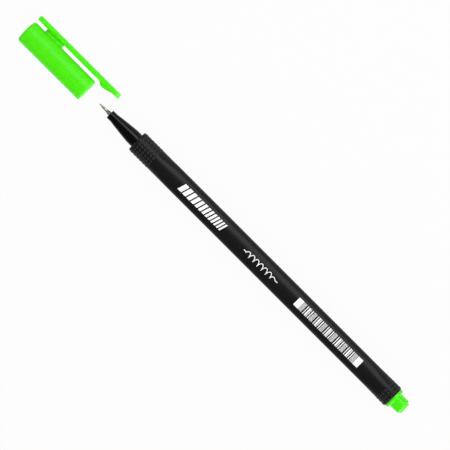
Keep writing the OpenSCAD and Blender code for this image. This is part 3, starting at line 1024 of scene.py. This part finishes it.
def make_line_print():
    """Thin line that waves along the pen, as a pen draws it, and flattens towards both ends."""
    shape = Shape()
    wave_steps = 24
    fade_in, fade_out = LINE_FADES
    count = LINE_WAVES * wave_steps
    path = []
    for k in range(count + 1):
        u = k / count
        height = LINE_HEIGHT * smooth(fade_in * u) * smooth(fade_out * (1 - u))
        turn = math.tau * LINE_WAVES * u
        x = LINE_FROM + LINE_LEN * u + LINE_LEAN * math.sin(turn)
        path.append(Vector((x, LINE_MIDDLE + height * math.cos(turn))))
    left, right = [], []
    for k, p in enumerate(path):
        way = (path[min(k + 1, count)] - path[max(k - 1, 0)]).normalized()
        off = Vector((-way.y, way.x)) * LINE_HALF_W
        left.append(tuple(p + off))
        right.append(tuple(p - off))
    print_strip(shape, left, right)
    make_piece("print_pen_line", shape, ink, "pen", sharp=30)


def make_bar_print():
    """Plain bars of a repeating rhythm, as pairs of width and gap, between two solid blocks."""
    shape = Shape()
    bars_end = BARS_FROM + BARS_LEN
    print_bar(shape, BARS_FROM, BARS_FROM + BARS_BLOCK, BARS_LOW, BARS_HIGH)
    print_bar(shape, bars_end - BARS_BLOCK, bars_end, BARS_LOW, BARS_HIGH)
    x = BARS_FROM + BARS_BLOCK + BARS_INSET
    room = bars_end - BARS_BLOCK - BARS_INSET
    for wide, gap in itertools.cycle(BARS_RHYTHM):
        if x + wide > room:
            break
        print_bar(shape, x, x + wide, BARS_LOW, BARS_HIGH)
        x += wide + gap
    make_piece("print_bars", shape, ink, "pen", sharp=30)


make_barrel()
make_dots("grip_dots_front", front_band_r, barrel_front + FRONT_DOTS_IN, FRONT_DOTS)
make_dots("grip_dots_rear", rear_band_r, barrel_rear - REAR_BAND + REAR_DOTS_IN, REAR_DOTS)
make_nose()
make_nib()
make_plug()
make_cap()
make_web()
make_clip()
make_liner()
make_fading_print()
make_line_print()
make_bar_print()

for node, material in (("ink_reservoir", reservoir_green), ("reservoir_film", film_clear)):
    slots = frame["nodes"][node].data.materials
    slots.clear()
    slots.append(material)


# Table, world and light
def make_table():
    """Pale table that shows as white and keeps the pen's shadow."""
    material = bpy.data.materials.new("table_white")
    tree, shader, output = node_tree(material)
    dim, pale = (0.60, 0.60, 0.60), (0.64, 0.64, 0.64)
    grain = spread(tree, noise(tree, grain=1.2, detail=4), 0, 1)
    tree.links.new(tinted(tree, grain, dim, pale), shader.inputs["Base Color"])
    shader.inputs["Roughness"].default_value = 0.9
    shader.inputs["Specular IOR Level"].default_value = 0
    path = tree.nodes.new("ShaderNodeLightPath")
    glossy = combined(tree, "MULTIPLY", path.outputs["Is Glossy Ray"], GLOSSY_SHARE)
    seen = combined(tree, "MAXIMUM", path.outputs["Is Camera Ray"], glossy)
    seen = combined(tree, "MAXIMUM", seen, path.outputs["Is Transmission Ray"])
    white = tree.nodes.new("ShaderNodeEmission")
    mix = tree.nodes.new("ShaderNodeMixShader")
    tree.links.new(combined(tree, "MULTIPLY", seen, WHITE_SHARE), mix.inputs["Fac"])
    tree.links.new(shader.outputs["BSDF"], mix.inputs[1])
    tree.links.new(white.outputs["Emission"], mix.inputs[2])
    tree.links.new(mix.outputs["Shader"], output.inputs["Surface"])
    low, high, z = -TABLE_HALF, TABLE_HALF, cad_box[0].z - TABLE_DROP
    mesh = bpy.data.meshes.new("table")
    mesh.from_pydata([(low, low, z), (high, low, z), (high, high, z), (low, high, z)], [], [(0, 1, 2, 3)])
    mesh.materials.append(material)
    table = bpy.data.objects.new("table", mesh)
    bpy.context.scene.collection.objects.link(table)


def make_world():
    """Surroundings: dim over the pen, paler at the horizon and bright off the pen's two ends."""
    world = bpy.data.worlds.new("studio")
    bpy.context.scene.world = world
    world.use_nodes = True
    tree = world.node_tree
    tree.nodes.clear()
    place = tree.nodes.new("ShaderNodeTexCoord")
    parts = tree.nodes.new("ShaderNodeSeparateXYZ")
    path = tree.nodes.new("ShaderNodeLightPath")
    background = tree.nodes.new("ShaderNodeBackground")
    output = tree.nodes.new("ShaderNodeOutputWorld")
    tree.links.new(place.outputs["Generated"], parts.inputs["Vector"])
    sky = spread(tree, parts.outputs["Z"], HORIZON, OVERHEAD, start=0.1, end=0.6, eased=True)
    endways = combined(tree, "MULTIPLY", parts.outputs["X"], parts.outputs["X"])
    ends = spread(tree, endways, 0, 1, start=0.1, end=0.35, eased=True)
    sideways = spread(tree, parts.outputs["Y"], FAR_ENDS, NEAR_ENDS, start=-0.8, end=0.8)
    lengthways = spread(tree, parts.outputs["X"], NIB_SHARE, PLUG_SHARE, start=-0.5, end=0.5)
    ends = combined(tree, "MULTIPLY", ends, sideways)
    ends = combined(tree, "MULTIPLY", ends, lengthways)
    strength = combined(tree, "MAXIMUM", sky, ends)
    strength = combined(tree, "MAXIMUM", strength, path.outputs["Is Camera Ray"])
    tree.links.new(strength, background.inputs["Strength"])
    tree.links.new(background.outputs["Background"], output.inputs["Surface"])


def make_softbox():
    """Softbox over the pen's middle, whose power follows from the radiance that it shows."""
    lamp = bpy.data.lights.new("softbox", "AREA")
    lamp.shape = "RECTANGLE"
    lamp.size, lamp.size_y = KEY_LONG, KEY_WIDE
    lamp.energy = KEY_RADIANCE * KEY_LONG * KEY_WIDE * math.pi
    box = bpy.data.objects.new("softbox", lamp)
    bpy.context.scene.collection.objects.link(box)
    turn = math.radians(KEY_TURN)
    way = PRINT_SIDE * math.cos(turn) + CLIP_SIDE * math.sin(turn)
    facing = Matrix((ALONG, way.cross(ALONG), way)).transposed().to_4x4()
    box.matrix_world = Matrix.Translation(target + way * KEY_AWAY - ALONG * KEY_AHEAD) @ facing


def make_camera():
    """Camera far off, square on to the printed face, turned so that the pen runs corner to corner."""
    camera = bpy.data.cameras.new("camera")
    camera.sensor_width = SENSOR_WIDTH
    camera.lens = camera.sensor_width * CAMERA_AWAY / SHOWN_WIDTH
    camera.clip_start = 0.1
    camera.clip_end = 50
    place = bpy.data.objects.new("camera", camera)
    bpy.context.scene.collection.objects.link(place)
    right = (ALONG + CLIP_SIDE).normalized()
    up = (CLIP_SIDE - ALONG).normalized()
    facing = Matrix((right, up, PRINT_SIDE)).transposed().to_4x4()
    place.matrix_world = Matrix.Translation(target + PRINT_SIDE * CAMERA_AWAY * MM) @ facing
    bpy.context.scene.camera = place


make_table()
make_world()
make_softbox()
make_camera()
bpy.context.scene.view_settings.view_transform = "Standard"
